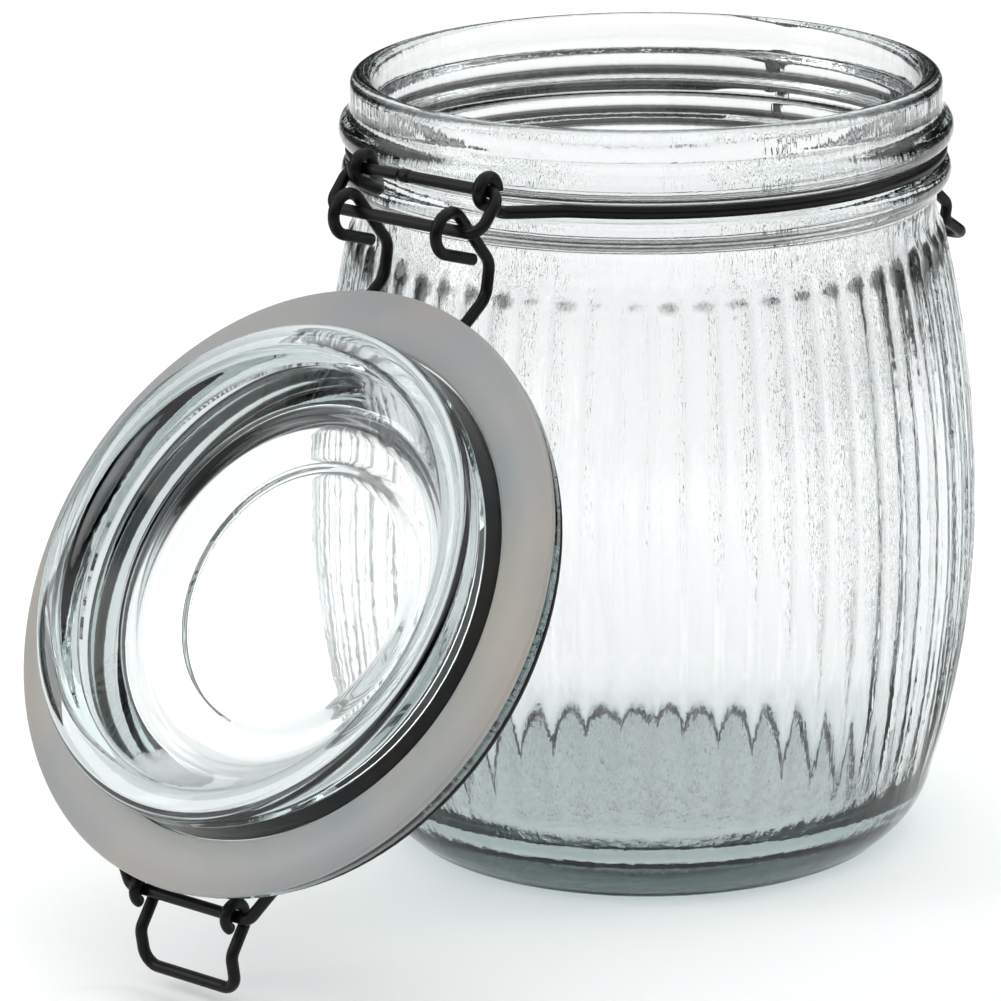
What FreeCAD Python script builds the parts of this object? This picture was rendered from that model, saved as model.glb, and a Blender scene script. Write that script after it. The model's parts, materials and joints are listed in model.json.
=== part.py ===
"""A fluted glass canister with a hinged glass lid, closed by wire fittings.

The frame is +Z up, in millimetres. The origin is the centre of the foot, on the jar's axis. The hinge
is on the -Y side and the closing lever on the +Y side, so every joint axis runs along X. The model
stands in its resting pose: the lid is open and hangs beside the jar below the hinge.

A lid part is drawn closed, with its own origin on the jar's axis at the gasket's sealing face, and its
Placement then swings it open about the hinge.
"""

import FreeCAD
import Part
import math
import os
import Sketcher

# Driving sizes: alias, value (mm or degrees), what it is.
SIZES = [
    ("jar_height", 133.2, "foot to the top of the rim"),
    ("rim_radius", 50.0, "outside of the rim"),
    ("mouth_radius", 46.0, "inside of the mouth and neck"),
    ("upper_bead_radius", 51.7, "bead above the wire groove"),
    ("lower_bead_radius", 51.4, "bead below the wire groove"),
    ("neck_radius", 49.2, "narrowest place under the beads"),
    ("belly_radius", 56.4, "widest place of the barrel"),
    ("belly_height", 56.0, "height of the widest place over the foot"),
    ("shoulder_radius", 50.6, "barrel where it meets the neck"),
    ("hip_radius", 49.8, "barrel where it turns in to the foot"),
    ("hip_height", 12.5, "height of that turn"),
    ("foot_radius", 42.6, "outer edge of the foot"),
    ("shoulder_arc", 215.0, "radius of the barrel's outline above the belly"),
    ("hip_arc", 145.0, "radius of the barrel's outline below the belly"),
    ("foot_arc", 17.0, "radius of the turn from the hip to the foot"),
    ("foot_width", 2.8, "flat ring the jar stands on"),
    ("foot_edge", 1.4, "foot's outer edge to that ring"),
    ("neck_blend", 7.0, "radius of the hollow between the barrel and the neck"),
    ("groove_depth", 1.4, "wire groove below the rim's outside"),
    ("wall", 3.9, "glass thickness of the barrel"),
    ("base_thickness", 7.0, "glass thickness of the floor"),
    ("push_up", 1.8, "rise of the underside inside the foot"),
    ("bead_drop", 9.3, "rim to the middle of the upper bead"),
    ("groove_drop", 13.2, "rim to the middle of the wire groove"),
    ("lower_bead_drop", 16.7, "rim to the middle of the lower bead"),
    ("neck_drop", 21.6, "rim to the narrowest place"),
    ("shoulder_drop", 27.0, "rim to the start of the barrel"),
    ("neck_wire", 2.2, "wire of the neck ring"),
    ("wire", 2.0, "wire of every other fitting"),
    ("wire_fit", 0.12, "air between a wire and its groove, or a bar and its eye"),
    ("eye_reach", 56.5, "jar axis to the neck ring's eyes, where the hinge link swings"),
    ("eye_drop", 9.0, "rim to the neck ring's eyes"),
    ("link_pitch", 8.0, "hinge link between its two bars"),
    ("link_closed", 40.0, "rise of the hinge link above level with the lid closed"),
    ("link_swing", 87.0, "swing of the hinge link from lid closed to lid open"),
    ("open_angle", 236.3, "turn of the lid from closed to hanging open"),
    ("link_length", 34.4, "hinge link over its ends"),
    ("link_bend", 2.5, "bend at the hinge link's corners, to the middle of the wire"),
    ("eye_spacing", 26.8, "between the neck ring's two eyes"),
    ("hook_spacing", 22.0, "between the lid wire's two hooks"),
    ("hook_room", 1.4, "air between the hinge link's bar and a hook bent round it"),
    ("hook_slack", 1.2, "hook bend's middle beyond the hinge axis"),
    ("gasket_radius", 51.7, "outside of the gasket"),
    ("gasket_thickness", 2.3, "gasket, sealing face to flange"),
    ("flange_radius", 51.0, "outside of the lid's flange"),
    ("flange_thickness", 2.3, "flange under the wire's shoulder"),
    ("lid_wire_radius", 49.2, "lid wire's ring, to the middle of the wire"),
    ("lid_thickness", 8.5, "sealing face to the lid's top"),
    ("seal_gap", 0.05, "air on each face of the gasket, under the flange and over the rim"),
    ("plug_radius", 42.3, "outside of the plug ring under the lid"),
    ("plug_depth", 9.2, "plug ring below the sealing face"),
    ("plug_round", 2.2, "rounding of the plug ring's outer edge"),
    ("plug_ridge", 36.8, "inner side of the plug ring's ridge"),
    ("dish_radius", 31.0, "flat floor of the lid's dish"),
    ("dish_depth", 3.0, "dish floor above the sealing face"),
    ("ridge_width", 1.7, "flat top of the plug ring's ridge"),
    ("ridge_rise", 1.6, "ridge top to the start of the dish's slope"),
    ("ring_mark_radius", 22.7, "shallow step in the lid's top"),
    ("ring_mark_depth", 0.8, "depth of that step"),
    ("latch_bar_reach", 51.8, "jar axis to the lid wire's straight front"),
    ("latch_bar_height", 8.2, "sealing face to the lid wire's straight front"),
    ("loop_spacing", 20.0, "between the arms of the latch loop"),
    ("loop_length", 12.5, "latch loop, bar to bar"),
    ("loop_kink", 1.7, "outward set of the latch loop's lower part"),
    ("lever_bar_reach", 57.0, "jar axis to the closing lever's pivot"),
    ("lever_lift", 0.0, "closing lever's pivot above the middle of the groove"),
    ("lever_spacing", 32.0, "between the arms of the closing lever"),
    ("lever_length", 26.3, "closing lever's pivot to its finger bar"),
    ("lever_reach", 13.2, "that pivot to the finger bar, outward"),
    ("hinge_leave", 30.0, "where the neck ring leaves its groove, either side of the hinge"),
    ("front_leave", 30.0, "where it leaves the groove, either side of the lever"),
]


class Dim:
    """A size with its value and the expression that ties it to the sheet."""

    def __init__(self, text, value):
        self.text = text
        self.value = value

    @staticmethod
    def of(thing):
        return thing if isinstance(thing, Dim) else Dim(repr(float(thing)), float(thing))

    def __add__(self, other):
        other = Dim.of(other)
        return Dim(f"({self.text} + {other.text})", self.value + other.value)

    def __sub__(self, other):
        other = Dim.of(other)
        return Dim(f"({self.text} - {other.text})", self.value - other.value)

    def __mul__(self, other):
        other = Dim.of(other)
        return Dim(f"({self.text} * {other.text})", self.value * other.value)

    def __truediv__(self, other):
        other = Dim.of(other)
        return Dim(f"({self.text} / {other.text})", self.value / other.value)

    def __radd__(self, other):
        return Dim.of(other) + self

    def __rsub__(self, other):
        return Dim.of(other) - self

    def __rmul__(self, other):
        return Dim.of(other) * self

    def __neg__(self):
        return Dim(f"(0 - {self.text})", -self.value)


def sine(angle):
    return Dim(f"sin({angle.text})", math.sin(math.radians(angle.value)))


def cosine(angle):
    return Dim(f"cos({angle.text})", math.cos(math.radians(angle.value)))


doc = FreeCAD.newDocument("canister")
sheet = doc.addObject("Spreadsheet::Sheet", "Sizes")
dims = {}
for row, (alias, number, note) in enumerate(SIZES, start=1):
    sheet.set(f"A{row}", alias)
    sheet.set(f"B{row}", str(number))
    sheet.set(f"C{row}", note)
    sheet.setAlias(f"B{row}", alias)
doc.recompute()
for alias, number, note in SIZES:
    dims[alias] = Dim(f"Sizes.{alias}", float(sheet.get(alias)))


def at(alias):
    return dims[alias]


def lid_pivot(slope):
    """Reach from the jar's axis and drop below the rim of the lid's pivot, at a slope of the link."""
    reach = at("eye_reach") + at("link_pitch") * cosine(slope)
    drop = at("eye_drop") - at("link_pitch") * sine(slope)
    return reach, drop


CLOSED_REACH, CLOSED_DROP = lid_pivot(at("link_closed"))
OPEN_REACH, OPEN_DROP = lid_pivot(at("link_closed") - at("link_swing"))


# ---------------------------------------------------------------- turned parts


def new_body(name):
    body = doc.addObject("PartDesign::Body", name)
    body.Label = name
    return body


def origin_feature(body, role):
    return [feature for feature in body.Origin.OriginFeatures if feature.Role == role][0]


def outline_sketch(body, name, corners):
    """A closed outline in the XZ plane.

    Each corner is (radius, height) or (radius, height, bend, side): bend is the radius of the arc that
    leads to the next corner, and side is +1 where its middle lies left of the way round, else -1.
    """
    sketch = body.newObject("Sketcher::SketchObject", name)
    sketch.AttachmentSupport = [(origin_feature(body, "XZ_Plane"), "")]
    sketch.MapMode = "FlatFace"
    points = [(Dim.of(corner[0]), Dim.of(corner[1])) for corner in corners]
    flat = [FreeCAD.Vector(x.value, y.value, 0) for x, y in points]
    ends = []
    for i, corner in enumerate(corners):
        a, b = flat[i], flat[(i + 1) % len(flat)]
        if len(corner) == 2:
            sketch.addGeometry(Part.LineSegment(a, b))
            ends.append((1, 2))
            continue
        bend, side = Dim.of(corner[2]), corner[3]
        middle = arc_centre(a, b, bend.value, side)
        start = math.atan2(a.y - middle.y, a.x - middle.x)
        stop = math.atan2(b.y - middle.y, b.x - middle.x)
        if side < 0:
            start, stop = stop, start
        circle = Part.Circle(middle, FreeCAD.Vector(0, 0, 1), bend.value)
        sketch.addGeometry(Part.ArcOfCircle(circle, start, stop))
        ends.append((1, 2) if side > 0 else (2, 1))
        index = sketch.addConstraint(Sketcher.Constraint("Radius", i, bend.value))
        sketch.setExpression(f"Constraints[{index}]", bend.text)
    count = len(corners)
    for i in range(count):
        following = (i + 1) % count
        sketch.addConstraint(Sketcher.Constraint("Coincident", i, ends[i][1], following, ends[following][0]))
    for i, (x, y) in enumerate(points):
        for kind, where in (("DistanceX", x), ("DistanceY", y)):
            index = sketch.addConstraint(Sketcher.Constraint(kind, -1, 1, i, ends[i][0], where.value))
            sketch.setExpression(f"Constraints[{index}]", where.text)
    return sketch


def arc_centre(a, b, bend, side):
    chord = b - a
    half = chord.Length / 2
    rise = math.sqrt(max(bend * bend - half * half, 0.0))
    normal = FreeCAD.Vector(-chord.y, chord.x, 0)
    normal.normalize()
    return (a + b) * 0.5 + normal * (rise * side)


def turn(body, sketch, name):
    revolution = body.newObject("PartDesign::Revolution", name)
    revolution.Profile = sketch
    revolution.ReferenceAxis = (sketch, ["V_Axis"])
    revolution.Angle = 360.0
    body.Tip = revolution
    return revolution


def lid_rest():
    """Y and Z of the lid's own origin when it hangs open."""
    swing = at("open_angle")
    along = CLOSED_REACH * cosine(swing) - CLOSED_DROP * sine(swing) - OPEN_REACH
    up = at("jar_height") - OPEN_DROP + CLOSED_REACH * sine(swing) + CLOSED_DROP * cosine(swing)
    return along, up


def swing_open(body):
    """Place a lid part, drawn closed, as it hangs open."""
    swing = at("open_angle")
    along, up = lid_rest()
    body.Placement = FreeCAD.Placement(
        FreeCAD.Vector(0, along.value, up.value), FreeCAD.Rotation(FreeCAD.Vector(1, 0, 0), swing.value)
    )
    body.setExpression("Placement.Base.y", along.text)
    body.setExpression("Placement.Base.z", up.text)
    body.setExpression("Placement.Rotation.Angle", swing.text)


def glass_jar():
    body = new_body("glass_jar")
    top = at("jar_height")
    lip = (at("rim_radius") - at("mouth_radius")) / 2
    groove_floor = at("rim_radius") - at("groove_depth")
    half_groove = at("neck_wire") / 2 + at("wire_fit")
    wire_height = top - at("groove_drop")
    bead_height = top - at("bead_drop")
    lower_bead_height = top - at("lower_bead_drop")
    neck_height = top - at("neck_drop")
    shoulder_height = top - at("shoulder_drop")
    floor_height = at("base_thickness")
    inner_belly = at("belly_radius") - at("wall")
    inner_hip = at("hip_radius") - at("wall")
    floor_radius = at("foot_radius") - 6.0
    foot_outer = at("foot_radius") - at("foot_edge")
    foot_inner = foot_outer - at("foot_width")
    corners = [
        (0, at("push_up")),
        (foot_inner - 2.8, at("push_up")),
        (foot_inner, 0),
        (foot_outer, 0, 1.9, 1),
        (at("foot_radius"), 1.0, at("foot_arc"), 1),
        (at("hip_radius"), at("hip_height"), at("hip_arc"), 1),
        (at("belly_radius"), at("belly_height"), at("shoulder_arc"), 1),
        (at("shoulder_radius"), shoulder_height, at("neck_blend"), -1),
        (at("neck_radius"), neck_height, 2.6, -1),
        (at("lower_bead_radius") - 0.9, lower_bead_height - 1.9, 2.4, 1),
        (at("lower_bead_radius") - 0.5, wire_height - half_groove - 0.4),
        (groove_floor, wire_height - half_groove),
        (groove_floor, wire_height + half_groove),
        (at("upper_bead_radius") - 0.9, wire_height + half_groove + 0.3, 3.0, 1),
        (at("upper_bead_radius") - 0.9, bead_height + 2.4, 2.6, -1),
        (at("rim_radius"), top - 4.4),
        (at("rim_radius"), top - lip, lip, 1),
        (at("rim_radius") - lip, top, lip, 1),
        (at("mouth_radius"), top - lip),
        (at("mouth_radius"), neck_height, 12.0, 1),
        (at("shoulder_radius") - at("wall") + 0.4, shoulder_height - 3.0, at("shoulder_arc") - at("wall"), -1),
        (inner_belly, at("belly_height"), at("hip_arc") - at("wall"), -1),
        (inner_hip, at("hip_height") + 1.5, 12.0, -1),
        (floor_radius, floor_height),
        (0, floor_height),
    ]
    turn(body, outline_sketch(body, "jar_outline", corners), "jar_turned")
    return body


def glass_lid():
    body = new_body("glass_lid")
    sealing = at("gasket_thickness")
    shoulder = sealing + at("flange_thickness")
    groove = at("lid_wire_radius") - at("wire") / 2 - at("wire_fit")
    top = at("lid_thickness")
    corners = [
        (0, at("dish_depth")),
        (at("dish_radius") - 2.0, at("dish_depth"), 3.0, 1),
        (at("dish_radius"), at("dish_depth") - 1.4),
        (at("plug_ridge"), at("ridge_rise") - at("plug_depth"), 2.2, 1),
        (at("plug_ridge") + at("ridge_width"), -at("plug_depth")),
        (at("plug_radius") - at("plug_round"), -at("plug_depth"), at("plug_round"), 1),
        (at("plug_radius"), at("plug_round") - at("plug_depth")),
        (at("plug_radius"), sealing),
        (at("flange_radius"), sealing),
        (at("flange_radius"), shoulder),
        (groove, shoulder + 0.3),
        (groove, top - 0.8, 0.8, 1),
        (groove - 0.8, top),
        (at("ring_mark_radius"), top),
        (at("ring_mark_radius") - 0.5, top - at("ring_mark_depth")),
        (0, top - at("ring_mark_depth")),
    ]
    turn(body, outline_sketch(body, "lid_outline", corners), "lid_turned")
    swing_open(body)
    return body


def gasket():
    body = new_body("gasket")
    inside = at("plug_radius") + 0.3
    outside = at("gasket_radius")
    face = at("seal_gap")
    thick = at("gasket_thickness") - at("seal_gap")
    corners = [
        (inside, face + 0.4),
        (inside + 0.4, face),
        (outside - 0.6, face, 0.6, 1),
        (outside, face + 0.6),
        (outside, thick - 0.5, 0.5, 1),
        (outside - 0.5, thick),
        (inside, thick),
    ]
    turn(body, outline_sketch(body, "gasket_outline", corners), "gasket_turned")
    swing_open(body)
    return body


# ---------------------------------------------------------------- bent wires


def vec(x, y, z):
    return FreeCAD.Vector(x, y, z)


def unit(v):
    out = FreeCAD.Vector(v)
    out.normalize()
    return out


def corner_edges(points, bends):
    """Straight runs through points, with an arc of the given radius at each inner one."""
    edges = []
    start = points[0]
    for before, here, after, bend in zip(points, points[1:], points[2:], bends):
        back, ahead = unit(before - here), unit(after - here)
        turn_angle = math.pi - back.getAngle(ahead)
        reach = bend * math.tan(turn_angle / 2)
        first, last = here + back * reach, here + ahead * reach
        inward = unit(back + ahead)
        centre = here + inward * (bend / math.cos(turn_angle / 2))
        if (first - start).Length > 1e-6:
            edges.append(Part.makeLine(start, first))
        edges.append(Part.Arc(first, centre - inward * bend, last).toShape())
        start = last
    edges.append(Part.makeLine(start, points[-1]))
    return edges


def mirrored(edges):
    """The same edges across the plane X = 0."""
    return [edge.mirror(vec(0, 0, 0), vec(1, 0, 0)) for edge in edges]


def swept(edges, diameter):
    """A round wire along connected tangent edges."""
    spine = Part.Wire(Part.__sortEdges__(edges))
    first = spine.OrderedEdges[0]
    start = spine.OrderedVertexes[0].Point
    at_first = first.valueAt(first.FirstParameter)
    forward = (at_first - start).Length < 1e-4
    parameter = first.FirstParameter if forward else first.LastParameter
    heading = first.tangentAt(parameter)
    profile = Part.Wire([Part.makeCircle(diameter / 2, start, heading)])
    shell = Part.BRepOffsetAPI.MakePipeShell(spine)
    shell.setFrenetMode(False)
    shell.add(profile)
    shell.build()
    shell.makeSolid()
    return shell.shape()


def wire_part(name, shape, placement=None):
    feature = doc.addObject("Part::Feature", name)
    feature.Label = name
    feature.Shape = shape
    if placement is not None:
        feature.Placement = placement
    return feature


def open_placement():
    """Where a lid part drawn closed goes when the lid hangs open."""
    along, up = lid_rest()
    turned = FreeCAD.Rotation(vec(1, 0, 0), at("open_angle").value)
    return FreeCAD.Placement(vec(0, along.value, up.value), turned)


def hinge_link():
    """A closed oblong of wire: it swings in the neck ring's eyes, and the lid's hooks ride on its other bar."""
    diameter = at("wire").value
    half = (at("link_length").value - diameter) / 2
    rim = at("jar_height").value
    upper = vec(half, -at("eye_reach").value, rim - at("eye_drop").value)
    lower = vec(half, -OPEN_REACH.value, rim - OPEN_DROP.value)
    bend = at("link_bend").value
    run = [vec(0, upper.y, upper.z), upper, lower, vec(0, lower.y, lower.z)]
    edges = corner_edges(run, [bend, bend])
    return wire_part("hinge_link", swept(edges + mirrored(edges), diameter))


def neck_ring():
    """The wire in the jar's groove, with an eye at each end and a straight bar for the lever, level with it."""
    diameter = at("neck_wire").value
    radius = (at("rim_radius") - at("groove_depth") + at("wire_fit")).value + diameter / 2
    height = at("jar_height").value - at("groove_drop").value
    reach = at("eye_reach").value
    top = at("jar_height").value - at("eye_drop").value
    eye = (at("wire").value + diameter) / 2 + at("wire_fit").value
    side = at("eye_spacing").value / 2
    leave = math.radians(at("hinge_leave").value)
    ring_end = vec(radius * math.sin(leave), -radius * math.cos(leave), height)
    along = vec(-math.cos(leave), -math.sin(leave), 0)
    turn_out = ring_end + along * 5.0
    knee = vec(side, -(reach - 3.6), top - 4.2)
    centre = vec(side, -reach, top)
    touch = touch_point(knee, centre, eye, -1)
    spoke = touch - centre
    turns = FreeCAD.Rotation(vec(1, 0, 0), -125), FreeCAD.Rotation(vec(1, 0, 0), -250)
    mid, end = (centre + rotation.multVec(spoke) for rotation in turns)
    hinge_end = corner_edges([ring_end, turn_out, knee, touch], [5.0, 1.8])
    hinge_end.append(Part.Arc(touch, mid, end).toShape())

    bar = at("lever_bar_reach").value
    bar_height = height + at("lever_lift").value
    half = at("lever_spacing").value / 2 + 3.2
    leave_front = math.radians(at("front_leave").value)
    front_start = vec(radius * math.sin(leave_front), radius * math.cos(leave_front), height)
    heading = vec(-math.cos(leave_front), math.sin(leave_front), 0)
    front_turn = front_start + heading * 4.0
    front_end = corner_edges(
        [front_start, front_turn, vec(half, bar, bar_height), vec(0, bar, bar_height)], [3.0, 2.2]
    )
    flank = Part.Arc(ring_end, vec(radius, 0, height), front_start).toShape()
    half_ring = hinge_end + [flank] + front_end
    return wire_part("neck_ring", swept(half_ring + mirrored(half_ring), diameter))


def lid_wire():
    """The wire round the lid: a ring with a hook on each arm and a straight bar at the front."""
    diameter = at("wire").value
    side = at("hook_spacing").value / 2
    ring = at("lid_wire_radius").value
    height = at("gasket_thickness").value + at("flange_thickness").value + diameter / 2 + 0.6
    pivot = vec(side, -CLOSED_REACH.value, -CLOSED_DROP.value)
    bend = diameter + at("hook_room").value
    middle = pivot + vec(0, 0.75, -0.66) * at("hook_slack").value
    shoulder = pivot + vec(0, 6.2, 13.2)
    knee = pivot + vec(0, 0.9, 10.9)
    tip = pivot + vec(0, 2.2, 6.8)

    leave = math.radians(22)
    ring_end = vec(ring * math.sin(leave), -ring * math.cos(leave), height)
    elbow = ring_end + vec(-math.cos(leave), -math.sin(leave), 0) * ((ring_end.x - side) / math.cos(leave))
    entry = touch_point(knee, middle, bend, 1)
    leaving = touch_point(tip, middle, bend, -1)
    over = arc_middle(middle, entry, leaving, bend)
    hook = corner_edges([ring_end, elbow, shoulder, knee, entry], [3.0, 4.0, 3.0])
    hook.append(Part.Arc(entry, over, leaving).toShape())
    hook.append(Part.makeLine(leaving, tip))

    bar = at("latch_bar_reach").value
    bar_height = at("latch_bar_height").value
    half = at("loop_spacing").value / 2 + 3.0
    front = math.radians(24)
    front_start = vec(ring * math.sin(front), ring * math.cos(front), height)
    front_turn = front_start + vec(-math.cos(front), math.sin(front), 0) * 3.0
    corners = [front_start, front_turn, vec(half, bar, bar_height), vec(0, bar, bar_height)]
    flank = Part.Arc(ring_end, vec(ring, 0, height), front_start).toShape()
    half_ring = hook + [flank] + corner_edges(corners, [2.5, 2.2])
    return wire_part("lid_wire", swept(half_ring + mirrored(half_ring), diameter), open_placement())


def touch_point(outside, middle, bend, side):
    """Where a straight run from a point touches a bend, both in one plane of constant X."""
    gap = outside - middle
    spread = math.degrees(math.acos(bend / gap.Length))
    return middle + FreeCAD.Rotation(vec(1, 0, 0), side * spread).multVec(unit(gap)) * bend


def arc_middle(middle, first, last, bend):
    """A point halfway along the long way round from first to last."""
    inner = unit((first - middle) + (last - middle))
    return middle - inner * bend


def eye_edges(side, eye, way):
    """An open eye round the X axis that ends at its outer side (way +1 is +Y), heading down."""
    start, half_way = (math.radians(angle) for angle in (230, 115))
    points = [
        vec(side, way * eye * math.cos(angle), eye * math.sin(angle)) for angle in (start, half_way, 0.0)
    ]
    return Part.Arc(*points).toShape()


def latch_loop():
    """The loop on the lid wire's straight front, drawn about its own pivot and hung plumb from it."""
    diameter = at("wire").value
    side = at("loop_spacing").value / 2
    eye = diameter + at("wire_fit").value
    length = at("loop_length").value
    lower = 0.4 - at("loop_kink").value
    arm = corner_edges(
        [
            vec(side, eye, 0),
            vec(side, eye, -1.9),
            vec(side, -at("loop_kink").value, -6.4),
            vec(side, lower, -length),
            vec(0, lower, -length),
        ],
        [1.6, 2.5, 2.8],
    )
    half = [eye_edges(side, eye, 1)] + arm
    shape = swept(half + mirrored(half), diameter)
    balance = shape.Solids[0].CenterOfMass
    lean = math.degrees(math.atan2(-balance.y, -balance.z))
    pivot = vec(0, at("latch_bar_reach").value, at("latch_bar_height").value)
    hung = FreeCAD.Placement(open_placement().multVec(pivot), FreeCAD.Rotation(vec(1, 0, 0), lean))
    return wire_part("latch_loop", shape, hung)


def closing_lever():
    """The lever on the neck ring that pulls the latch loop down, drawn about its own pivot."""
    diameter = at("wire").value
    side = at("lever_spacing").value / 2
    eye = (diameter + at("neck_wire").value) / 2 + at("wire_fit").value
    reach, length = at("lever_reach").value, at("lever_length").value
    arm = corner_edges(
        [
            vec(side, eye, 0),
            vec(side, eye, -2.4),
            vec(side, 0.6, -7.2),
            vec(side, 4.2, -17.0),
            vec(side, 7.4, -19.6),
            vec(side, 6.6, -22.2),
            vec(side, reach, -length),
            vec(0, reach, -length),
        ],
        [2.0, 2.6, 2.4, 1.6, 1.6, 3.0],
    )
    half = [eye_edges(side, eye, 1)] + arm
    height = at("jar_height") - at("groove_drop") + at("lever_lift")
    pivot = vec(0, at("lever_bar_reach").value, height.value)
    return wire_part(
        "closing_lever", swept(half + mirrored(half), diameter), FreeCAD.Placement(pivot, FreeCAD.Rotation())
    )


# ---------------------------------------------------------------- build and write

parts = [
    glass_jar(),
    neck_ring(),
    hinge_link(),
    glass_lid(),
    gasket(),
    lid_wire(),
    latch_loop(),
    closing_lever(),
]
doc.recompute()

for item in doc.Objects:
    faults = [state for state in item.State if state in ("Invalid", "Error")]
    if faults:
        raise RuntimeError(f"{item.Name} is {faults}")
os.makedirs("parts", exist_ok=True)
for part in parts:
    shape = part.Shape
    if shape.isNull() or not shape.isValid() or shape.Volume <= 0:
        raise RuntimeError(f"{part.Label} has a bad shape")
    shape.exportStep(f"parts/{part.Label}.step")
    print(f"{part.Label}: {len(shape.Solids)} solid, {shape.Volume:.0f} mm3, {shape.BoundBox}")
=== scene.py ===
"""Looks for a fluted glass canister with a hinged glass lid and black wire fittings.

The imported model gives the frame: metres, +Z up, the origin at the centre of the jar's foot. The hinge is on
the -Y side. The jar, the lid and the gasket are turned here as fine meshes on the outlines of the frame's
solids, with flutes and a mould seam added to the jar and a low dome to the gasket's face. The wires keep the
frame's own shapes and get their finish, and the hinge link gets its weld bead.
"""

from __future__ import annotations

import json
import logging
import math
from dataclasses import dataclass, field
from enum import Enum

import bpy
from mathutils import Matrix, Vector

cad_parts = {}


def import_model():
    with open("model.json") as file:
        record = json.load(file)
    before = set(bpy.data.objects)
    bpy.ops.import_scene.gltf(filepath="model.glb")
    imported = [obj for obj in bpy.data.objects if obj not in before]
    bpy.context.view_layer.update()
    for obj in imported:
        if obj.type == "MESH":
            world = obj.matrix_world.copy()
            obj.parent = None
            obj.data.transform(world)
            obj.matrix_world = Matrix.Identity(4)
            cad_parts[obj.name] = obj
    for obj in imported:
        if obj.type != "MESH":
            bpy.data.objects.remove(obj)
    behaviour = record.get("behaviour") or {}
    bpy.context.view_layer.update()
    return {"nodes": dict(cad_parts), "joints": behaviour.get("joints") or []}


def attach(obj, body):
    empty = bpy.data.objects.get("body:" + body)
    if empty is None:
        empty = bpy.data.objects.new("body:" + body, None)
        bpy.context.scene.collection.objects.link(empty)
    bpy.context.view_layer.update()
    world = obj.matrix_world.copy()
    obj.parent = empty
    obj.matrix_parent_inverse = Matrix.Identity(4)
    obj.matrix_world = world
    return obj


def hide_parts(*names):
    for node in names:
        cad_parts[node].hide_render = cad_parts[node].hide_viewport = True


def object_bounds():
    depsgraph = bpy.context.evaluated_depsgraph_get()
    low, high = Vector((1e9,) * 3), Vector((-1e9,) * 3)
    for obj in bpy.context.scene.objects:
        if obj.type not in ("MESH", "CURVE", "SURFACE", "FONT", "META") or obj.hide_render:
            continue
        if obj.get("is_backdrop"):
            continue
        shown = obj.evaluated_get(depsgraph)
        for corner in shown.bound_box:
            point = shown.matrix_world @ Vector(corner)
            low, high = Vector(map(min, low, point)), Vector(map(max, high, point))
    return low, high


LOG = logging.getLogger("canister")
MM = 0.001


# ---------------------------------------------------------------- small helpers


def linear(hex_colour: str) -> tuple[float, float, float, float]:
    """Turn an sRGB hex colour into linear RGBA.

    Args:
        hex_colour: Six hex digits, with or without a leading hash.

    Returns:
        The colour as four linear values, the last one 1.
    """
    digits = hex_colour.lstrip("#")
    channels = [int(digits[i : i + 2], 16) / 255 for i in (0, 2, 4)]
    curve = [c / 12.92 if c <= 0.04045 else ((c + 0.055) / 1.055) ** 2.4 for c in channels]
    return curve[0], curve[1], curve[2], 1.0


def add_node(tree: bpy.types.NodeTree, kind: str, settings: dict | None = None, **links) -> bpy.types.Node:
    """Add a node, set its properties and sockets, and link it.

    Args:
        tree: The node tree that gets the node.
        kind: The node's type name.
        settings: Properties by name, and socket values by their name or number.
        links: Output sockets to link from, by input name with underscores for spaces, or in_N by number.

    Returns:
        The new node.
    """
    node = tree.nodes.new(kind)
    for key, value in (settings or {}).items():
        if isinstance(key, int) or key in node.inputs:
            node.inputs[key].default_value = value
        else:
            setattr(node, key, value)
    for key, source in links.items():
        name = int(key[3:]) if key.startswith("in_") else key.replace("_", " ")
        tree.links.new(source, node.inputs[name])
    return node


@dataclass
class Outline:
    """A turned outline: corners of (radius, height), or (radius, height, bend, side), in millimetres."""

    corners: list[tuple]
    step: float = 1.0
    closed_on_axis: bool = True

    def arc(self, first: tuple, last: tuple, bend: float, side: int) -> list[tuple[float, float]]:
        """Divide one arc.

        Args:
            first: Where it starts.
            last: Where it ends.
            bend: Its radius.
            side: +1 where its middle lies left of the way round, else -1.

        Returns:
            The points from the first up to, and without, the last.
        """
        dx, dz = last[0] - first[0], last[1] - first[1]
        chord = math.hypot(dx, dz)
        rise = math.sqrt(max(bend * bend - chord * chord / 4, 0.0))
        cx = (first[0] + last[0]) / 2 - dz / chord * rise * side
        cz = (first[1] + last[1]) / 2 + dx / chord * rise * side
        start = math.atan2(first[1] - cz, first[0] - cx)
        span = 2 * math.asin(min(1.0, chord / 2 / bend)) * side
        count = max(3, round(abs(span) * bend / self.step), round(math.degrees(abs(span)) / 14))
        return [
            (cx + bend * math.cos(start + span * i / count), cz + bend * math.sin(start + span * i / count))
            for i in range(count)
        ]

    def points(self) -> list[tuple[float, float]]:
        """The whole outline as points, with its straight runs divided too."""
        found: list[tuple[float, float]] = []
        corners = self.corners if not self.closed_on_axis else self.corners[:-1]
        for i, corner in enumerate(corners):
            following = self.corners[(i + 1) % len(self.corners)]
            if len(corner) == 4:
                found += self.arc(corner, following, corner[2], corner[3])
                continue
            length = math.hypot(following[0] - corner[0], following[1] - corner[1])
            count = max(1, round(length / self.step / 2))
            found += [
                (
                    corner[0] + (following[0] - corner[0]) * k / count,
                    corner[1] + (following[1] - corner[1]) * k / count,
                )
                for k in range(count)
            ]
        if self.closed_on_axis:
            found.append(tuple(self.corners[-1][:2]))
        return found


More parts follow.
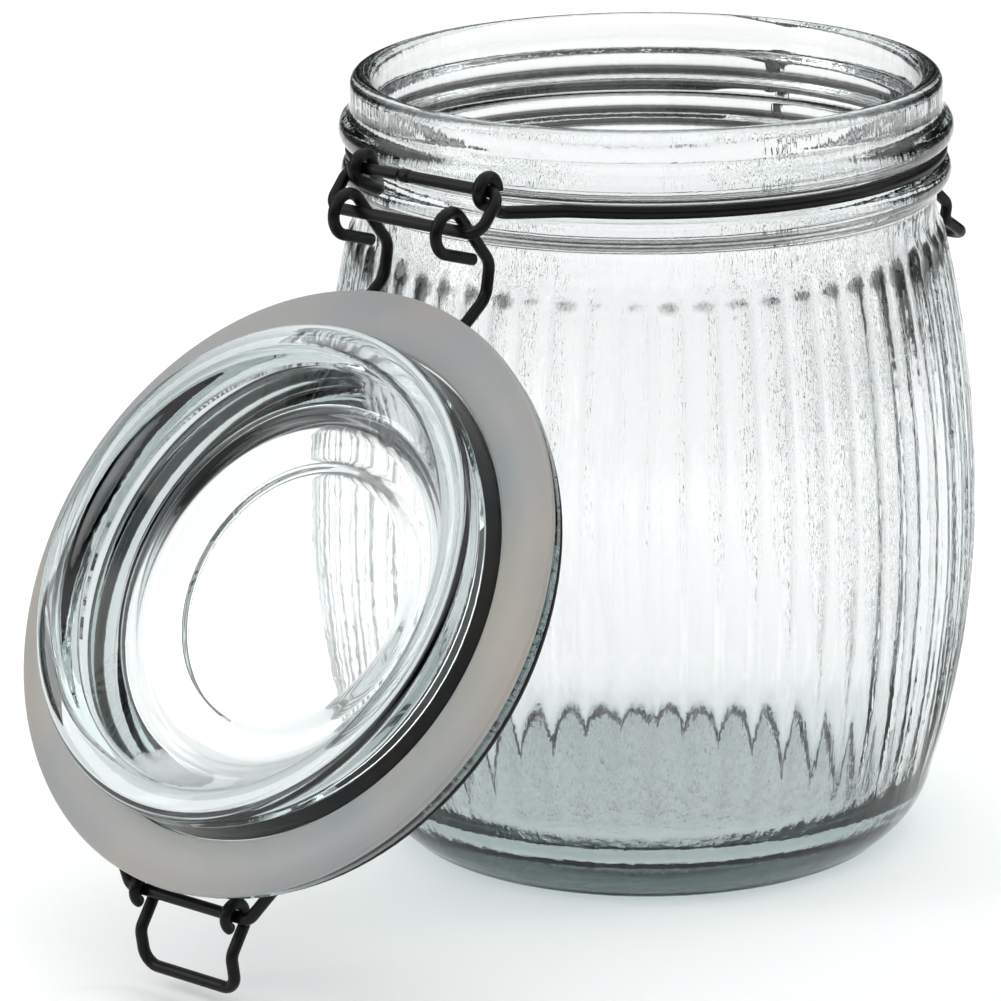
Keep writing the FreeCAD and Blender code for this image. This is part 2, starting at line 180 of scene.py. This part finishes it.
def turned_mesh(name: str, outline: Outline, segments: int, place: Matrix) -> bpy.types.Mesh:
    """Turn an outline round the Z axis into a closed mesh.

    Args:
        name: The mesh's name.
        outline: The outline, which starts and ends on the axis, or is a ring clear of it.
        segments: Steps round the axis.
        place: Where the turned shape goes, in metres.

    Returns:
        A smooth-shaded mesh.
    """
    rings = outline.points()
    on_axis = outline.closed_on_axis
    body = rings[1:-1] if on_axis else rings
    verts: list[Vector] = []
    for radius, height in body:
        for k in range(segments):
            angle = 2 * math.pi * k / segments
            verts.append(Vector((radius * math.cos(angle), radius * math.sin(angle), height)) * MM)
    faces: list[tuple[int, ...]] = []
    count = len(body)
    for ring in range(count if not on_axis else count - 1):
        upper = (ring + 1) % count
        for k in range(segments):
            ahead = (k + 1) % segments
            faces.append(
                (
                    ring * segments + k,
                    ring * segments + ahead,
                    upper * segments + ahead,
                    upper * segments + k,
                )
            )
    if on_axis:
        for end, ring in ((rings[0], 0), (rings[-1], count - 1)):
            pole = len(verts)
            verts.append(Vector((0, 0, end[1])) * MM)
            for k in range(segments):
                pair = (ring * segments + k, ring * segments + (k + 1) % segments)
                faces.append((pole, pair[1], pair[0]) if ring == 0 else (pole, pair[0], pair[1]))
    mesh = bpy.data.meshes.new(name)
    mesh.from_pydata([place @ v for v in verts], [], faces)
    mesh.polygons.foreach_set("use_smooth", [True] * len(mesh.polygons))
    mesh.update()
    return mesh


def shown(name: str, mesh: bpy.types.Mesh) -> bpy.types.Object:
    """Put a mesh in the scene as an object at the origin."""
    piece = bpy.data.objects.new(name, mesh)
    bpy.context.scene.collection.objects.link(piece)
    return piece


def dress(piece: bpy.types.Object, material: bpy.types.Material) -> None:
    """Give a piece one material in all of its slots."""
    if not piece.data.materials:
        piece.data.materials.append(material)
    for index in range(len(piece.data.materials)):
        piece.data.materials[index] = material


def two_tones(tree: bpy.types.NodeTree, factor: bpy.types.NodeSocket, *stops: tuple) -> bpy.types.NodeSocket:
    """Blend from one colour to another.

    Args:
        tree: The node tree that gets the ramp.
        factor: What drives the blend.
        stops: The two ends, each a place along the ramp and a linear RGBA colour.

    Returns:
        The blended colour.
    """
    ramp = add_node(tree, "ShaderNodeValToRGB", None, Fac=factor)
    for element, (place, colour) in zip(ramp.color_ramp.elements, stops, strict=True):
        element.position = place
        element.color = colour
    return ramp.outputs["Color"]


def blank_material(name: str) -> bpy.types.Material:
    """A new material with an empty node tree."""
    material = bpy.data.materials.new(name)
    material.use_nodes = True
    material.node_tree.nodes.clear()
    return material


# ---------------------------------------------------------------- finishes


class Body(Enum):
    """The moving bodies that the pieces made here ride on."""

    JAR = "jar"
    LINK = "link"
    LID = "lid"


@dataclass(frozen=True)
class PressedGlass:
    """Pressed soda-lime glass: clear, faintly green where it is thick, and a little rippled."""

    name: str
    tint: str = "#BDCBCB"
    density: float = 44.0
    ior: float = 1.52
    ripple_mm: float = 5.0
    ripple_height_mm: float = 0.2
    stretch: float = 0.2
    grain_mm: float = 0.9
    grain_height_mm: float = 0.02
    grain_from: float = 0.45
    grain_full: float = 0.7
    shadow: str = "#E8EEED"

    def material(self) -> bpy.types.Material:
        """Build the node material.

        Returns:
            The glass, with its colour from absorption inside it.
        """
        material = blank_material(self.name)
        tree = material.node_tree
        place = add_node(tree, "ShaderNodeTexCoord")
        scaled = add_node(
            tree, "ShaderNodeMapping", {"Scale": (1.0, 1.0, self.stretch)}, Vector=place.outputs["Object"]
        )
        ripple = add_node(
            tree,
            "ShaderNodeTexNoise",
            {"Scale": 1 / (self.ripple_mm * MM), "Detail": 4.0, "Roughness": 0.62},
            Vector=scaled.outputs["Vector"],
        )
        waves = add_node(
            tree,
            "ShaderNodeBump",
            {"Strength": 1.0, "Distance": self.ripple_height_mm * MM},
            Height=ripple.outputs["Fac"],
        )
        grain = add_node(
            tree,
            "ShaderNodeTexNoise",
            {"Scale": 1 / (self.grain_mm * MM), "Detail": 1.5},
            Vector=place.outputs["Object"],
        )
        pressed = add_node(
            tree,
            "ShaderNodeMapRange",
            {"From Min": self.grain_from, "From Max": self.grain_full},
            Value=ripple.outputs["Fac"],
        )
        bump = add_node(
            tree,
            "ShaderNodeBump",
            {"Distance": self.grain_height_mm * MM},
            Strength=pressed.outputs["Result"],
            Height=grain.outputs["Fac"],
            Normal=waves.outputs["Normal"],
        )
        glass = add_node(
            tree,
            "ShaderNodeBsdfPrincipled",
            {
                "Base Color": (1.0, 1.0, 1.0, 1.0),
                "Roughness": 0.0,
                "IOR": self.ior,
                "Transmission Weight": 1.0,
            },
            Normal=bump.outputs["Normal"],
        )
        clear = add_node(tree, "ShaderNodeBsdfTransparent", {"Color": linear(self.shadow)})
        path = add_node(tree, "ShaderNodeLightPath")
        mixed = add_node(
            tree,
            "ShaderNodeMixShader",
            None,
            in_0=path.outputs["Is Shadow Ray"],
            in_1=glass.outputs["BSDF"],
            in_2=clear.outputs["BSDF"],
        )
        tinted = add_node(
            tree, "ShaderNodeVolumeAbsorption", {"Color": linear(self.tint), "Density": self.density}
        )
        add_node(
            tree,
            "ShaderNodeOutputMaterial",
            None,
            Surface=mixed.outputs["Shader"],
            Volume=tinted.outputs["Volume"],
        )
        return material


@dataclass(frozen=True)
class MouldedSilicone:
    """Moulded silicone: soft grey, cloudy and a little see-through, with a faint flow round the ring."""

    name: str
    light: str = "#AEA8A0"
    dark: str = "#999DA0"
    flow_mm: float = 30.0
    bloom_mm: float = 0.9

    def material(self, centre: Vector, turn: float) -> bpy.types.Material:
        """Build the node material.

        Args:
            centre: The ring's centre.
            turn: The ring's turn about X from lying flat, in radians.

        Returns:
            The silicone.
        """
        material = blank_material(self.name)
        tree = material.node_tree
        place = add_node(tree, "ShaderNodeTexCoord")
        flat = add_node(
            tree,
            "ShaderNodeMapping",
            {"vector_type": "TEXTURE", "Location": centre, "Rotation": (turn, 0.0, 0.0)},
            Vector=place.outputs["Object"],
        )
        flow = add_node(
            tree,
            "ShaderNodeTexNoise",
            {"Scale": 1 / (self.flow_mm * MM), "Detail": 2.5, "Roughness": 0.45, "Distortion": 0.6},
            Vector=flat.outputs["Vector"],
        )
        bloom = add_node(
            tree,
            "ShaderNodeTexNoise",
            {"Scale": 1 / (self.bloom_mm * MM), "Detail": 3.0},
            Vector=flat.outputs["Vector"],
        )
        ends = (0.3, linear(self.dark)), (0.7, linear(self.light))
        colours = two_tones(tree, flow.outputs["Fac"], *ends)
        bump = add_node(
            tree, "ShaderNodeBump", {"Strength": 0.3, "Distance": 0.02 * MM}, Height=bloom.outputs["Fac"]
        )
        rubber = add_node(
            tree,
            "ShaderNodeBsdfPrincipled",
            {
                "Roughness": 0.42,
                "IOR": 1.43,
                "Subsurface Weight": 0.35,
                "Subsurface Radius": (1.0, 0.9, 0.8),
                "Subsurface Scale": 2.5 * MM,
                "Transmission Weight": 0.12,
            },
            Base_Color=colours,
            Normal=bump.outputs["Normal"],
        )
        add_node(tree, "ShaderNodeOutputMaterial", None, Surface=rubber.outputs["BSDF"])
        return material


@dataclass(frozen=True)
class BlackedWire:
    """Drawn steel wire with a thin black coat: satin, with a soft long highlight and faint draw marks."""

    name: str
    colour: str = "#070708"
    worn: str = "#101011"
    grain_mm: float = 0.5

    def material(self) -> bpy.types.Material:
        """Build the node material.

        Returns:
            The black coat.
        """
        material = blank_material(self.name)
        tree = material.node_tree
        place = add_node(tree, "ShaderNodeTexCoord")
        grain = add_node(
            tree,
            "ShaderNodeTexNoise",
            {"Scale": 1 / (self.grain_mm * MM), "Detail": 3.0, "Roughness": 0.6},
            Vector=place.outputs["Object"],
        )
        patches = add_node(
            tree,
            "ShaderNodeTexNoise",
            {"Scale": 1 / (8 * self.grain_mm * MM), "Detail": 2.0},
            Vector=place.outputs["Object"],
        )
        ends = (0.45, linear(self.colour)), (0.75, linear(self.worn))
        colours = two_tones(tree, patches.outputs["Fac"], *ends)
        sheen = add_node(
            tree, "ShaderNodeMapRange", {"To Min": 0.28, "To Max": 0.42}, Value=grain.outputs["Fac"]
        )
        bump = add_node(
            tree, "ShaderNodeBump", {"Strength": 0.4, "Distance": 0.02 * MM}, Height=grain.outputs["Fac"]
        )
        coat = add_node(
            tree,
            "ShaderNodeBsdfPrincipled",
            {"IOR": 1.45, "Specular IOR Level": 0.2},
            Base_Color=colours,
            Roughness=sheen.outputs["Result"],
            Normal=bump.outputs["Normal"],
        )
        add_node(tree, "ShaderNodeOutputMaterial", None, Surface=coat.outputs["BSDF"])
        return material


# ---------------------------------------------------------------- the canister


@dataclass
class Jar:
    """The glass jar with its upright flutes and mould seam. Sizes in millimetres."""

    height: float = 133.2
    rim: float = 50.0
    mouth: float = 46.0
    belly: float = 56.4
    belly_height: float = 56.0
    shoulder: float = 50.6
    shoulder_drop: float = 27.0
    hip: float = 49.8
    hip_height: float = 12.5
    foot: float = 42.6
    foot_flare: float = 0.55
    wire_half: float = 1.22
    groove_floor: float = 48.6
    groove: float = 120.0
    flute_count: int = 58
    steps_per_flute: int = 8
    flute_depth: float = 1.2
    flute_top: float = 110.0
    flute_bottom: float = 12.0
    flute_arch: float = 2.4
    flute_scatter: float = 3.0
    flute_fade: float = 6.5
    foot_fade: float = 26.0
    flute_roundness: float = 0.8
    shallowest: float = 0.7
    depth_spread: float = 0.45
    outer_skin: float = 2.2
    seam_degrees: float = -41.9
    seam_rise: float = 0.14
    seam_width: float = 0.8
    glass: PressedGlass = field(default_factory=lambda: PressedGlass("pressed_soda_lime_glass_jar"))

    def outline(self) -> Outline:
        """The jar's outline, from the middle of its underside round to the middle of its floor."""
        top = self.height
        lip = (self.rim - self.mouth) / 2
        corners = [
            (0, 1.8),
            (35.6, 1.8),
            (38.4, 0),
            (41.2, 0, 1.9, 1),
            (self.foot, 1.0, 17.0, 1),
            (self.hip, self.hip_height, 145.0, 1),
            (self.belly, self.belly_height, 215.0, 1),
            (self.shoulder, top - self.shoulder_drop, 7.0, -1),
            (49.2, top - 21.6, 2.6, -1),
            (50.5, top - 18.6, 2.4, 1),
            (50.9, self.groove - self.wire_half - 0.4),
            (self.groove_floor, self.groove - self.wire_half),
            (self.groove_floor, self.groove + self.wire_half),
            (50.8, self.groove + self.wire_half + 0.3, 3.0, 1),
            (50.8, top - 6.9, 2.6, -1),
            (self.rim, top - 4.4),
            (self.rim, top - lip, lip, 1),
            (self.rim - lip, top, lip, 1),
            (self.mouth, top - lip),
            (self.mouth, top - 21.6, 12.0, 1),
            (47.1, top - 30.0, 211.1, -1),
            (52.5, self.belly_height, 141.1, -1),
            (45.9, 14.0, 12.0, -1),
            (36.6, 7.0),
            (0, 7.0),
        ]
        return Outline(corners, step=1.68)

    def flute_tree(self) -> bpy.types.NodeTree:
        """Geometry nodes that sink upright flutes into the barrel and raise a mould seam on two sides.

        Returns:
            The node group, with the sizes of the flutes and the seam as named inputs.
        """
        tree = bpy.data.node_groups.new("barrel_flutes", "GeometryNodeTree")
        tree.interface.new_socket("Geometry", in_out="INPUT", socket_type="NodeSocketGeometry")
        for name in ("Count", "Depth", "Top", "Bottom", "Arch", "Fade", "Scatter", "Seam", "Seam Width"):
            tree.interface.new_socket(name, in_out="INPUT", socket_type="NodeSocketFloat")
        tree.interface.new_socket("Glass", in_out="INPUT", socket_type="NodeSocketMaterial")
        tree.interface.new_socket("Geometry", in_out="OUTPUT", socket_type="NodeSocketGeometry")
        given = add_node(tree, "NodeGroupInput").outputs

        def maths(operation: str, *values: object, **options: object) -> bpy.types.NodeSocket:
            """One Math node on sockets and numbers, as its result."""
            node = add_node(tree, "ShaderNodeMath", {"operation": operation, **options})
            for index, value in enumerate(values):
                if isinstance(value, bpy.types.NodeSocket):
                    tree.links.new(value, node.inputs[index])
                else:
                    node.inputs[index].default_value = value
            return node.outputs[0]

        place = add_node(tree, "GeometryNodeInputPosition")
        split = add_node(tree, "ShaderNodeSeparateXYZ", None, Vector=place.outputs[0])
        x, y, z = split.outputs
        angle = maths("ARCTAN2", y, x)
        turns = maths("MULTIPLY", maths("DIVIDE", angle, 2 * math.pi), given["Count"])
        across = maths("SUBTRACT", maths("MULTIPLY", maths("FRACT", turns), 2.0), 1.0)
        square = maths("MULTIPLY", across, across)
        hollow = maths("SQRT", maths("MAXIMUM", maths("SUBTRACT", 1.0, square), 0.0))
        drop = maths("MULTIPLY", given["Arch"], maths("SUBTRACT", 1.0, hollow))
        own = add_node(tree, "ShaderNodeTexWhiteNoise", {"noise_dimensions": "1D"}, W=maths("FLOOR", turns))
        tone = add_node(tree, "ShaderNodeSeparateXYZ", None, Vector=own.outputs["Color"])
        lower = maths("MULTIPLY", given["Scatter"], own.outputs["Value"])
        above = maths("SUBTRACT", maths("SUBTRACT", maths("SUBTRACT", given["Top"], drop), lower), z)
        from_top = maths("DIVIDE", above, given["Fade"], use_clamp=True)
        lift = maths("DIVIDE", maths("SUBTRACT", z, given["Bottom"]), given["Fade"])
        from_foot = maths("MULTIPLY", lift, self.flute_fade / self.foot_fade, use_clamp=True)
        bowl = maths("MAXIMUM", maths("SUBTRACT", 1.0, square), 0.0)
        shaped = maths("POWER", bowl, self.flute_roundness)
        reach = maths("MULTIPLY", from_top, from_foot)
        depth = maths("MULTIPLY", given["Depth"], maths("MULTIPLY", shaped, reach))
        own_depth = maths("MULTIPLY_ADD", tone.outputs["X"], self.depth_spread, self.shallowest)
        varied = maths("MULTIPLY", depth, own_depth)
        facing = math.radians(self.seam_degrees)
        off = maths(
            "ABSOLUTE",
            maths("SUBTRACT", maths("MULTIPLY", x, math.sin(facing)), maths("MULTIPLY", y, math.cos(facing))),
        )
        ridge = maths("SUBTRACT", 1.0, maths("DIVIDE", off, given["Seam Width"], use_clamp=True))
        seam_top = maths("ADD", given["Top"], given["Fade"])
        below_neck = maths("DIVIDE", maths("SUBTRACT", seam_top, z), given["Fade"], use_clamp=True)
        seam = maths("MULTIPLY", maths("MULTIPLY", ridge, given["Seam"]), below_neck)
        outside = add_node(tree, "GeometryNodeInputNamedAttribute", {"data_type": "FLOAT", "Name": "outside"})
        inward = maths("MULTIPLY", maths("SUBTRACT", seam, varied), outside.outputs["Attribute"])
        radial = add_node(tree, "ShaderNodeCombineXYZ", None, X=x, Y=y)
        unit = add_node(tree, "ShaderNodeVectorMath", {"operation": "NORMALIZE"}, in_0=radial.outputs[0])
        move = add_node(tree, "ShaderNodeVectorMath", {"operation": "SCALE"}, in_0=unit.outputs[0])
        tree.links.new(inward, move.inputs["Scale"])
        sunk = add_node(
            tree, "GeometryNodeSetPosition", None, Geometry=given["Geometry"], Offset=move.outputs[0]
        )
        real = add_node(tree, "GeometryNodeRealizeInstances", None, Geometry=sunk.outputs[0])
        dressed = add_node(
            tree, "GeometryNodeSetMaterial", None, Geometry=real.outputs[0], Material=given["Glass"]
        )
        add_node(tree, "NodeGroupOutput", None, Geometry=dressed.outputs[0])
        return tree

    def build(self) -> None:
        """Build and dress the jar."""
        segments = self.flute_count * self.steps_per_flute
        mesh = turned_mesh("fluted_jar", self.outline(), segments, Matrix.Identity(4))
        barrel = mesh.attributes.new("outside", "FLOAT", "POINT")
        skin = self.outer_skin * MM
        reaches = [math.hypot(v.co.x, v.co.y) - self.wall_at(v.co.z) + skin for v in mesh.vertices]
        barrel.data.foreach_set("value", [1.0 if reach > 0 else 0.0 for reach in reaches])
        piece = shown("fluted_jar", mesh)
        tree = self.flute_tree()
        glass = self.glass.material()
        modifier = piece.modifiers.new("flutes", "NODES")
        modifier.node_group = tree
        wanted = {
            "Count": float(self.flute_count),
            "Depth": self.flute_depth * MM,
            "Top": self.flute_top * MM,
            "Bottom": self.flute_bottom * MM,
            "Arch": self.flute_arch * MM,
            "Fade": self.flute_fade * MM,
            "Scatter": self.flute_scatter * MM,
            "Seam": self.seam_rise * MM,
            "Seam Width": self.seam_width * MM,
            "Glass": glass,
        }
        for item in tree.interface.items_tree:
            if item.in_out == "INPUT" and item.name in wanted:
                modifier[item.identifier] = wanted[item.name]
        graph = bpy.context.evaluated_depsgraph_get()
        fluted = bpy.data.meshes.new_from_object(piece.evaluated_get(graph), depsgraph=graph)
        piece.modifiers.remove(modifier)
        piece.data = fluted
        dress(piece, glass)
        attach(piece, Body.JAR.value)
        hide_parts("glass_jar")
        LOG.info("jar: %d faces", len(fluted.polygons))

    def wall_at(self, height: float) -> float:
        """The barrel's outer radius at a height, both in metres."""
        level = height / MM
        if level < self.hip_height:
            return (self.foot + level * self.foot_flare) * MM
        if level > self.belly_height:
            end_radius, end_height = self.shoulder, self.height - self.shoulder_drop
        else:
            end_radius, end_height = self.hip, self.hip_height
        rise = (level - self.belly_height) / (end_height - self.belly_height)
        return (self.belly - (self.belly - end_radius) * rise * rise) * MM


@dataclass
class Lid:
    """The glass lid and its gasket, hanging open. Sizes in millimetres, about the closed sealing face."""

    eye_reach: float = 56.5
    eye_drop: float = 9.0
    link_pitch: float = 8.0
    link_closed: float = 40.0
    open_angle: float = 236.3
    glass: PressedGlass = field(
        default_factory=lambda: PressedGlass(
            "pressed_soda_lime_glass_lid",
            ripple_mm=14.0,
            ripple_height_mm=0.035,
            stretch=1.0,
            grain_height_mm=0.0,
        )
    )
    silicone: MouldedSilicone = field(default_factory=lambda: MouldedSilicone("moulded_silicone_gasket"))

    def place(self, joints: list[dict]) -> Matrix:
        """Where the lid goes when it hangs open.

        Args:
            joints: The frame's joints.

        Returns:
            The matrix from the closed drawing, centred on the sealing face, to the open place.
        """
        pivot = Vector(next(j["pos_m"] for j in joints if j["name"] == "lid_hinge"))
        slope = math.radians(self.link_closed)
        reach = self.eye_reach + self.link_pitch * math.cos(slope)
        drop = self.eye_drop - self.link_pitch * math.sin(slope)
        turn = Matrix.Rotation(math.radians(self.open_angle), 4, "X")
        return Matrix.Translation(pivot) @ turn @ Matrix.Translation(Vector((0, reach, drop)) * MM)

    def glass_outline(self) -> Outline:
        """The lid's outline, from the middle of its dish round to the middle of its top."""
        groove = 48.08
        corners = [
            (0, 3.0),
            (29.0, 3.0, 3.0, 1),
            (31.0, 1.6),
            (36.8, -7.6, 2.2, 1),
            (38.5, -9.2),
            (40.1, -9.2, 2.2, 1),
            (42.3, -7.0),
            (42.3, 2.3),
            (51.0, 2.3),
            (51.0, 4.6),
            (groove, 4.9),
            (groove, 7.7, 0.8, 1),
            (groove - 0.8, 8.5),
            (22.7, 8.5),
            (22.2, 7.7),
            (0, 7.7),
        ]
        return Outline(corners, step=0.8)

    def gasket_outline(self) -> Outline:
        """The gasket's outline, a ring clear of the axis."""
        corners = [
            (42.6, 0.75, 14.5, 1),
            (51.25, 0.75, 0.5, 1),
            (51.7, 1.2),
            (51.7, 1.75, 0.5, 1),
            (51.2, 2.25),
            (42.6, 2.25),
        ]
        return Outline(corners, step=0.6, closed_on_axis=False)

    def build(self, joints: list[dict]) -> None:
        """Build and dress the lid's glass and gasket.

        Args:
            joints: The frame's joints.
        """
        place = self.place(joints)
        lid = shown("clear_lid", turned_mesh("clear_lid", self.glass_outline(), 240, place))
        dress(lid, self.glass.material())
        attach(lid, Body.LID.value)
        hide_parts("glass_lid")
        seal = shown("silicone_gasket", turned_mesh("silicone_gasket", self.gasket_outline(), 240, place))
        dress(seal, self.silicone.material(place.translation, math.radians(self.open_angle)))
        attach(seal, Body.LID.value)
        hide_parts("gasket")
        LOG.info("lid: %d faces, gasket: %d faces", len(lid.data.polygons), len(seal.data.polygons))


@dataclass
class WireFittings:
    """The bent wires: neck ring, hinge link, lid wire, latch loop and closing lever."""

    weld_aside: float = -4.2
    weld_length: float = 2.6
    weld_radius: float = 1.16
    coat: BlackedWire = field(default_factory=lambda: BlackedWire("black_coated_steel_wire"))

    def weld(self, joints: list[dict], coat: bpy.types.Material) -> None:
        """The low bead where the hinge link's ends are butt-welded, on its upper bar.

        Args:
            joints: The frame's joints.
            coat: The wires' finish.
        """
        end, full = self.weld_length / 2, self.weld_radius
        shoulder, crest = (full * 0.86, end), (full, end * 0.4)
        corners = [(0, -end), (shoulder[0], -end), (full, -crest[1]), crest, shoulder, (0, end)]
        upper_bar = Vector(next(j["pos_m"] for j in joints if j["name"] == "link_swing"))
        along = Matrix.Rotation(math.radians(90), 4, "Y")
        place = Matrix.Translation(upper_bar + Vector((self.weld_aside * MM, 0, 0))) @ along
        bead = shown("link_weld", turned_mesh("link_weld", Outline(corners, step=0.3), 32, place))
        dress(bead, coat)
        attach(bead, Body.LINK.value)

    def build(self, nodes: dict[str, bpy.types.Object], joints: list[dict]) -> None:
        """Dress the frame's wires.

        Args:
            nodes: The frame's objects by node name.
            joints: The frame's joints.
        """
        coat = self.coat.material()
        for name in ("neck_ring", "hinge_link", "lid_wire", "latch_loop", "closing_lever"):
            dress(nodes[name], coat)
            LOG.info("wire: %s", name)
        self.weld(joints, coat)


# ---------------------------------------------------------------- studio


@dataclass
class Studio:
    """The camera, the pale floor with painted shade far from it, and the soft light."""

    azimuth: float = 39.3
    distance: float = 0.96287
    camera_height: float = 0.33575
    pitch: float = 0.2813
    yaw: float = -0.0261
    roll: float = -0.00874
    lens: float = 209.27
    floor_half: float = 8.0
    # Past pale_radius the floor's colour turns to painted shade, fully grey at the outer radius.
    pale_radius: float = 0.72
    painted_shade_radius: float = 1.3
    pale: str = "#F8F8F8"
    grey: str = "#5C5C5C"
    room_light: float = 1.19
    room_dark_below: float = 0.3
    room_white_above: float = 0.52
    room_dark: float = 0.03
    aim_height: float = 0.06

    def camera(self) -> None:
        """Stand the camera where it sees the jar and the open lid from above the rim."""
        pitch, yaw, roll = self.pitch, self.yaw, self.roll
        ahead = Vector((math.sin(yaw) * math.cos(pitch), math.cos(yaw) * math.cos(pitch), -math.sin(pitch)))
        right = Vector((math.cos(yaw), -math.sin(yaw), 0))
        up = right.cross(ahead)
        right, up = right * math.cos(roll) + up * math.sin(roll), up * math.cos(roll) - right * math.sin(roll)
        turned = Matrix.Rotation(math.radians(self.azimuth), 4, "Z")
        basis = Matrix((right, up, -ahead)).transposed().to_4x4()
        place = Matrix.Translation(Vector((0, -self.distance, self.camera_height)))
        data = bpy.data.cameras.new("camera")
        data.lens = self.lens
        data.sensor_width = 36.0
        data.clip_start, data.clip_end = 0.05, 20.0
        camera = bpy.data.objects.new("camera", data)
        camera.matrix_world = turned @ place @ basis
        bpy.context.scene.collection.objects.link(camera)
        bpy.context.scene.camera = camera

    def floor(self) -> None:
        """A wide floor, pale round the canister and grey far from it: the grey is painted shade, standing in
        for the dark of an unlit room beyond the light.
        """
        half = self.floor_half
        mesh = bpy.data.meshes.new("studio_floor")
        square = [(-half, -half, 0), (half, -half, 0), (half, half, 0), (-half, half, 0)]
        mesh.from_pydata(square, [], [(0, 1, 2, 3)])
        floor = shown("studio_floor", mesh)
        material = bpy.data.materials.new("paper_floor_painted_shade")
        material.use_nodes = True
        tree = material.node_tree
        place = add_node(tree, "ShaderNodeTexCoord")
        away = add_node(tree, "ShaderNodeVectorMath", {"operation": "LENGTH"}, in_0=place.outputs["Object"])
        # Painted shade: the floor's colour goes from pale to grey with distance from the canister, in place
        # of an unlit room's dark.
        ring = add_node(
            tree,
            "ShaderNodeMapRange",
            {"From Min": self.pale_radius, "From Max": self.painted_shade_radius},
            Value=away.outputs["Value"],
        )
        ends = (0.0, linear(self.pale)), (1.0, linear(self.grey))
        shade = two_tones(tree, ring.outputs["Result"], *ends)
        paper = tree.nodes["Principled BSDF"]
        tree.links.new(shade, paper.inputs["Base Color"])
        paper.inputs["Roughness"].default_value = 0.9
        paper.inputs["Specular IOR Level"].default_value = 0.1
        dress(floor, material)
        floor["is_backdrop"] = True

    def panel(self, name: str, place: tuple, size: tuple[float, float], power: float) -> None:
        """Hang one soft light, aimed at the canister.

        Args:
            name: The light's name.
            place: Where it hangs, in metres, before the turn to the camera's side.
            size: Its width and height in metres.
            power: Its power in watts.
        """
        turned = Matrix.Rotation(math.radians(self.azimuth), 3, "Z")
        data = bpy.data.lights.new(name, "AREA")
        data.shape = "RECTANGLE"
        data.size, data.size_y = size
        data.energy = power
        light = bpy.data.objects.new(name, data)
        light.location = turned @ Vector(place)
        aim = Vector((0, 0, self.aim_height)) - light.location
        light.rotation_euler = aim.to_track_quat("-Z", "Y").to_euler()
        bpy.context.scene.collection.objects.link(light)

    def light(self) -> None:
        """Soft panels over and beside the canister, in a room that is white overhead and dark low down."""
        self.panel("top_panel", (0.0, 0.2, 1.2), (1.0, 0.8), 1.6)
        self.panel("left_panel", (-0.9, -0.2, 0.5), (0.3, 0.9), 3.0)
        self.panel("right_panel", (0.9, 0.0, 0.5), (0.25, 0.9), 1.6)
        world = bpy.data.worlds.new("light_room")
        bpy.context.scene.world = world
        world.use_nodes = True
        tree = world.node_tree
        tree.nodes.clear()
        place = add_node(tree, "ShaderNodeTexCoord")
        split = add_node(tree, "ShaderNodeSeparateXYZ", None, Vector=place.outputs["Generated"])
        low = (self.room_dark,) * 3 + (1.0,)
        ends = (self.room_dark_below, low), (self.room_white_above, (1.0, 1.0, 1.0, 1.0))
        sky = two_tones(tree, split.outputs["Z"], *ends)
        glow = add_node(tree, "ShaderNodeBackground", {"Strength": self.room_light}, Color=sky)
        add_node(tree, "ShaderNodeOutputWorld", None, Surface=glow.outputs["Background"])
        bpy.context.scene.view_settings.view_transform = "Standard"

    def build(self) -> None:
        """Set the whole studio, camera first."""
        self.camera()
        self.floor()
        self.light()


def corners() -> list[list[float]]:
    """The shown object's lowest and highest corners as plain lists."""
    return [list(corner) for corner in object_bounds()]


def main() -> None:
    """Build the canister in order."""
    logging.basicConfig(level=logging.INFO, format="%(name)s: %(message)s")
    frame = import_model()
    Studio().build()
    Jar().build()
    Lid().build(frame["joints"])
    WireFittings().build(frame["nodes"], frame["joints"])


if __name__ == "__main__":
    main()
